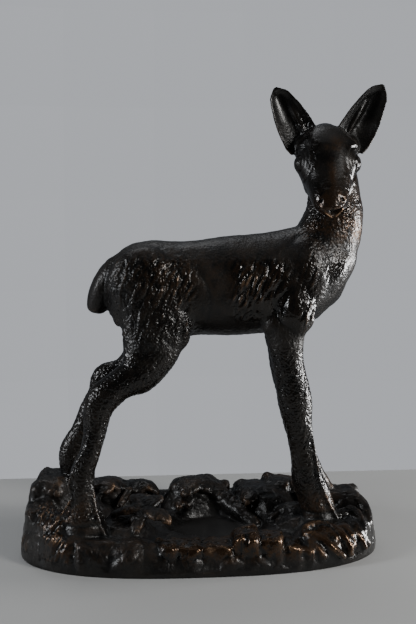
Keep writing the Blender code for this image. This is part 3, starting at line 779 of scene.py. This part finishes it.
# Patina and rub
#
# Where the hand and the cloth reach, the dark patina is worn to copper: the ridges, the bridge of
# the nose, the ear rims and the tops of the strokes. The masks are kept on the skin for the bronze.

normal = normals()
high_points = np.zeros(count)
for rounds, weight in ((3, 0.9), (14, 1.0), (50, 0.8)):
    proud = ((point - spread(point, rounds)) * normal).sum(1) / MM
    high_points += weight * proud / math.sqrt(rounds)
rub = np.clip(0.5 + 1.15 * high_points, 0, 1) * np.where(z > 385, 0.75, 1.0)
facing_out = np.clip(np.abs(normal[:, 1]) * 1.6 - 0.2, 0, 1)


def patch_at(px, pz, wide, tall):
    return np.exp(-(((x - px) / wide) ** 2 + ((z - pz) / tall) ** 2))


blocks = gate(gx, -44, 96, 8) * gate(gy, -100, -58, 6) * np.clip((gz - 12) / 6, 0, 1) * (gz < 50)
spots = 0.8 * patch_at(127, 253, 12, 14) + 1.5 * patch_at(92, 214, 9, 13) + 0.35 * shoulder
flank = z < 262
shine = coat_here * np.clip(
    1.2 * ribs * flank + 0.9 * shoulder * np.clip((114 - x) / 16, 0, 1) * flank
    + 0.7 * legs * (z < 178) + spots
    + 0.8 * haunch * np.clip((x + 75) / 30, 0, 1) * flank + crumple + lower_lip
    + neck * np.clip((130 - x) / 20, 0.55, 1) * np.clip((z - 282) / 10, 0, 1) + 0.6 * (z > 388)
    + 0.35 * gate(across, 12, 40, 5) * gate(along, 0, 46, 8) * head
    + 0.4 * face_region, 0, 1)
ground_shine = ground_share * np.clip(0.10 + 0.7 * blocks + fan + 0.35 * tufts, 0, 1) * (1 - in_pool)
satin = np.clip(1 - np.maximum(shine, ground_shine), 0, 1)
low_front = np.clip((gz - 10) / 10, 0, 1) * np.clip((-gy - 46) / 12, 0, 1) * (gz < 62)
copper = (
    (0.25 * patch_at(40, 250, 46, 26) + 0.35 * patch_at(-34, 250, 34, 24)) * facing_out
    + 0.7 * patch_at(146, 300, 16, 34) * (z > 250) + 0.2 * patch_at(118, 285, 16, 30) * (z > 255)
    + 0.9 * bridge * head + lower_lip
    + 0.9 * np.exp(-(((along - 10) / 5) ** 2 + ((across - 8) / 5) ** 2)) * head * (up > 0)
    + np.exp(-(((along - 16) / 1.6) ** 2)) * gate(across, -5, 12, 2) * head * (up > 0) + 0.6 * nostril_rims
    + 0.4 * gate(along, 54, 80, 8) * head
    + 0.9 * low_front * np.clip((gx + 50) / 30, 0.2, 1) + 0.4 * tufts * (gz < 62)
    + 0.5 * np.clip((gz - 24) / 10, 0, 1) * (gz < 70) * (1 - in_pool) * np.clip(patch * 2, 0, 1)
    * np.where(gx < -90, 0.35, 1.0)
)
# Painted shade: no copper in the mouth, so the cut there stays dark as if in shadow.
copper *= 1 - mouth
for name, values in (
    ("rub", rub), ("copper", np.clip(copper, 0, 1)), ("pool", in_pool), ("satin", satin),
    ("strokes", stroke_layer + 0.9 * tufts * ground_share),
    ("pricks", prick_layer + 0.18 * ground_share * (1 - in_pool)),
):
    layer = skin.attributes.new(name, "FLOAT", "POINT")
    layer.data.foreach_set("value", np.ascontiguousarray(values, dtype=np.float32))

flat_cut = bmesh.new()
flat_cut.from_mesh(skin)
cut = bmesh.ops.bisect_plane(
    flat_cut, geom=flat_cut.verts[:] + flat_cut.edges[:] + flat_cut.faces[:],
    plane_co=(0, 0, 0), plane_no=(0, 0, -1), clear_outer=True,
)
rim_edges = [item for item in cut["geom_cut"] if isinstance(item, bmesh.types.BMEdge)]
bmesh.ops.holes_fill(flat_cut, edges=rim_edges)
bmesh.ops.triangulate(flat_cut, faces=flat_cut.faces)
flat_cut.to_mesh(skin)
flat_cut.free()

statue = bpy.data.objects.new("fawn_statue", skin)
bpy.context.scene.collection.objects.link(statue)
thin = statue.modifiers.new("thin_out", "DECIMATE")
thin.ratio = min(1.0, TRIANGLES / len(skin.polygons))
thinned = bpy.data.meshes.new_from_object(statue.evaluated_get(bpy.context.evaluated_depsgraph_get()))
statue.modifiers.clear()
statue.data = thinned
thinned.polygons.foreach_set("use_smooth", [True] * len(thinned.polygons))
print("bronze skin:", count, "vertices,", len(thinned.polygons), "triangles")

# Bronze
#
# Dark brown-black patina over bronze under a glossy clear lacquer, with copper showing on the
# high points, and a painted reflection in the smooth pool: grey as if it mirrored the backdrop.

PATINA, THIN_PATINA = (0.004, 0.0038, 0.0036, 1), (0.010, 0.0088, 0.0074, 1)
BROWN, POOL_REFLECTION_GREY = (0.070, 0.040, 0.022, 1), (0.024, 0.023, 0.022, 1)
DULL_COPPER, BRIGHT_COPPER = (0.17, 0.095, 0.05, 1), (0.38, 0.24, 0.145, 1)
bronze = bpy.data.materials.new("patinated_bronze")
bronze.use_nodes = True
nodes, links = bronze.node_tree.nodes, bronze.node_tree.links
shader = nodes["Principled BSDF"]
shader.inputs["Coat Weight"].default_value = 0.12
shader.inputs["Coat Roughness"].default_value = 0.2
shader.inputs["Coat IOR"].default_value = 1.5
shader.inputs["IOR"].default_value = 1.5
shader.inputs["Specular IOR Level"].default_value = 0.42


def node(kind, **inputs):
    made = nodes.new(kind)
    for name, value in inputs.items():
        made.inputs[name.replace("_", " ")].default_value = value
    return made


def maths(operation, first, second):
    made = nodes.new("ShaderNodeMath")
    made.operation = operation
    for i, value in enumerate((first, second)):
        if isinstance(value, (int, float)):
            made.inputs[i].default_value = value
        else:
            links.new(value, made.inputs[i])
    return made.outputs[0]


def ramp(value, low, high, start=0.0, end=1.0):
    made = nodes.new("ShaderNodeMapRange")
    made.interpolation_type = "SMOOTHSTEP"
    for i, number in ((1, low), (2, high), (3, start), (4, end)):
        made.inputs[i].default_value = number
    links.new(value, made.inputs[0])
    return made.outputs[0]


def blend(share, first, second):
    made = nodes.new("ShaderNodeMix")
    made.data_type = "RGBA"
    links.new(share, made.inputs[0])
    for socket, value in ((made.inputs[6], first), (made.inputs[7], second)):
        if isinstance(value, tuple):
            socket.default_value = value
        else:
            links.new(value, socket)
    return made.outputs[2]


place = nodes.new("ShaderNodeTexCoord").outputs["Object"]


def cloud(scale, detail=4.0, rough=0.6, source=None):
    made = node("ShaderNodeTexNoise", Scale=scale, Detail=detail, Roughness=rough)
    links.new(source or place, made.inputs["Vector"])
    return made.outputs[0]


def mask(name):
    """One of the masks kept on the skin."""
    made = nodes.new("ShaderNodeAttribute")
    made.attribute_name = name
    return made.outputs["Fac"]


blotches = cloud(38, 5, 0.62)
specks = cloud(420, 3, 0.6)
mottle = cloud(150, 4, 0.7)
worn = maths("ADD", mask("rub"), maths("MULTIPLY", maths("SUBTRACT", specks, 0.5), 0.45))
worn = maths("ADD", worn, maths("MULTIPLY", maths("SUBTRACT", blotches, 0.5), 0.7))
bright_edges = maths("MULTIPLY", ramp(worn, 0.78, 1.08), maths("ADD", mask("copper"), 0.14))
mottled = ramp(maths("ADD", worn, maths("SUBTRACT", mottle, 0.5)), 0.3, 0.8)
brown_share = maths("MULTIPLY", maths("ADD", mask("copper"), 0.06), mottled)

dark = blend(ramp(blotches, 0.35, 0.65), PATINA, THIN_PATINA)
brown = blend(brown_share, dark, BROWN)
copper_tint = blend(ramp(cloud(90, 4), 0.4, 0.62), DULL_COPPER, BRIGHT_COPPER)
colour = blend(maths("MINIMUM", bright_edges, 1.0), brown, copper_tint)
# Painted reflection: the smooth pool is coloured a lighter grey, as if it mirrored the pale backdrop.
links.new(blend(mask("pool"), colour, POOL_REFLECTION_GREY), shader.inputs["Base Color"])
links.new(ramp(maths("MAXIMUM", bright_edges, brown_share), 0, 1, 0.2, 0.8), shader.inputs["Metallic"])
gloss = maths("ADD", ramp(blotches, 0.3, 0.7, 0.13, 0.25), maths("MULTIPLY", mask("satin"), 0.26))
links.new(gloss, shader.inputs["Roughness"])

# The loop tool's strokes lean the way the hair lies; the pricks are round.
slant = nodes.new("ShaderNodeMapping")
slant.vector_type = "POINT"
slant.inputs["Rotation"].default_value = (0, math.radians(-22.3), 0)
slant.inputs["Scale"].default_value = (1.0, 0.8, 0.22)
links.new(place, slant.inputs["Vector"])
hair = cloud(330, 2, 0.5, slant.outputs[0])
cells = nodes.new("ShaderNodeTexVoronoi")
cells.feature = "SMOOTH_F1"
cells.inputs["Scale"].default_value = 460
links.new(place, cells.inputs["Vector"])
pores = cloud(800, 2, 0.5)
fine = maths("ADD", maths("MULTIPLY", maths("MULTIPLY", hair, mask("strokes")), 1.3),
             maths("MULTIPLY", maths("MULTIPLY", cells.outputs["Distance"], mask("pricks")), 1.5))
fine = maths("ADD", fine, maths("MULTIPLY", pores, 0.10))
bump = nodes.new("ShaderNodeBump")
bump.inputs["Strength"].default_value = 0.6
bump.inputs["Distance"].default_value = 0.0013
links.new(fine, bump.inputs["Height"])
links.new(bump.outputs[0], shader.inputs["Normal"])
links.new(bump.outputs[0], shader.inputs["Coat Normal"])
thinned.materials.clear()
thinned.materials.append(bronze)

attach(statue, "root")
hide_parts("fawn_on_rocky_ground")

# Floor, light and camera
#
# A pale painted board under the statue, a pale backdrop all round the set, and daylight from soft
# panels at the right, front, left and back and overhead. Only the camera sees the backdrop, so it
# lays no haze on the dark bronze.

# In metres: how far the board reaches to each side, and from the front to the back.
BOARD_SIDE, BOARD_FRONT, BOARD_BACK = 0.9, -0.55, 0.22
BACKDROP_RADIUS = 2.6
floor_mesh = bpy.data.meshes.new("floor")
floor_corners = [
    (-BOARD_SIDE, BOARD_FRONT, 0), (BOARD_SIDE, BOARD_FRONT, 0), (BOARD_SIDE, BOARD_BACK, 0),
    (-BOARD_SIDE, BOARD_BACK, 0),
]
floor_mesh.from_pydata(floor_corners, [], [(0, 1, 2, 3)])
floor = bpy.data.objects.new("floor", floor_mesh)
bpy.context.scene.collection.objects.link(floor)
paint = bpy.data.materials.new("floor_paint")
paint.use_nodes = True
paint_shader = paint.node_tree.nodes["Principled BSDF"]
paint_shader.inputs["Base Color"].default_value = (0.50, 0.50, 0.49, 1)
paint_shader.inputs["Roughness"].default_value = 0.6
floor_mesh.materials.append(paint)

dome_form = bmesh.new()
bmesh.ops.create_uvsphere(dome_form, u_segments=48, v_segments=24, radius=BACKDROP_RADIUS)
dome_mesh = bpy.data.meshes.new("backdrop")
dome_form.to_mesh(dome_mesh)
dome_form.free()
backdrop = bpy.data.objects.new("backdrop", dome_mesh)
bpy.context.scene.collection.objects.link(backdrop)
backdrop.visible_diffuse = False
backdrop.visible_glossy = False
backdrop.visible_transmission = False
backdrop.visible_shadow = False
cloth = bpy.data.materials.new("backdrop_cloth")
cloth.use_nodes = True
cloth_shader = cloth.node_tree.nodes["Principled BSDF"]
cloth_shader.inputs["Base Color"].default_value = (0, 0, 0, 1)
cloth_shader.inputs["Emission Color"].default_value = (0.60, 0.62, 0.66, 1)
cloth_shader.inputs["Emission Strength"].default_value = 0.75
dome_mesh.materials.append(cloth)

world = bpy.data.worlds.new("daylight")
bpy.context.scene.world = world
world.use_nodes = True
sky = world.node_tree.nodes["Background"]
sky.inputs["Color"].default_value = (0.80, 0.86, 0.95, 1)
direction = world.node_tree.nodes.new("ShaderNodeTexCoord")
split = world.node_tree.nodes.new("ShaderNodeSeparateXYZ")
glow = world.node_tree.nodes.new("ShaderNodeMapRange")
for i, number in ((1, -0.2), (2, 0.8), (3, 0.02), (4, 0.14)):
    glow.inputs[i].default_value = number
world.node_tree.links.new(direction.outputs["Generated"], split.inputs[0])
world.node_tree.links.new(split.outputs["Y"], glow.inputs[0])
world.node_tree.links.new(glow.outputs[0], sky.inputs["Strength"])


def add_panel(name, where, target, size, power, tint):
    light = bpy.data.lights.new(name, "AREA")
    light.shape = "RECTANGLE"
    light.size, light.size_y = size
    light.energy = power
    light.color = tint
    panel = bpy.data.objects.new(name, light)
    panel.location = where
    panel.rotation_euler = (Vector(target) - Vector(where)).to_track_quat("-Z", "Y").to_euler()
    panel.visible_camera = False
    bpy.context.scene.collection.objects.link(panel)


add_panel("window_right", (1.35, 0.05, 0.14), (0.1, 0, 0.12), (0.4, 0.4), 27, (1.0, 1.0, 1.0))
add_panel("window_front", (0.95, -0.80, 0.70), (0.05, 0, 0.2), (0.2, 0.4), 8, (1.0, 0.99, 0.97))
add_panel("window_left", (-1.3, -0.35, 0.60), (0, 0, 0.2), (0.3, 0.5), 10, (0.93, 0.96, 1.0))
add_panel("window_back", (-0.2, 0.70, 1.5), (0, 0, 0.2), (0.7, 0.5), 2.5, (0.95, 0.97, 1.0))
add_panel("ceiling", (0, -0.1, 1.5), (0, 0, 0), (1.4, 0.9), 1.2, (0.97, 0.98, 1.0))

# The focal length is in pixels of the photograph, which is 624 high.
TILT, AZIMUTH = math.radians(-7.09), math.radians(-4.4)
CAMERA_X, CAMERA_Y, CAMERA_Z = -0.0579, -0.8631, 0.3385
FOCAL_PIXELS, PHOTO_HEIGHT, SENSOR = 900, 624, 36
camera_data = bpy.data.cameras.new("camera")
camera_data.sensor_width = SENSOR
camera_data.lens = FOCAL_PIXELS * SENSOR / PHOTO_HEIGHT
camera = bpy.data.objects.new("camera", camera_data)
camera.location = (CAMERA_X + shift[0], CAMERA_Y + shift[1], CAMERA_Z)
gaze = Vector((-math.sin(AZIMUTH) * math.cos(TILT), math.cos(AZIMUTH) * math.cos(TILT), math.sin(TILT)))
camera.rotation_euler = gaze.to_track_quat("-Z", "Y").to_euler()
bpy.context.scene.collection.objects.link(camera)
bpy.context.scene.camera = camera
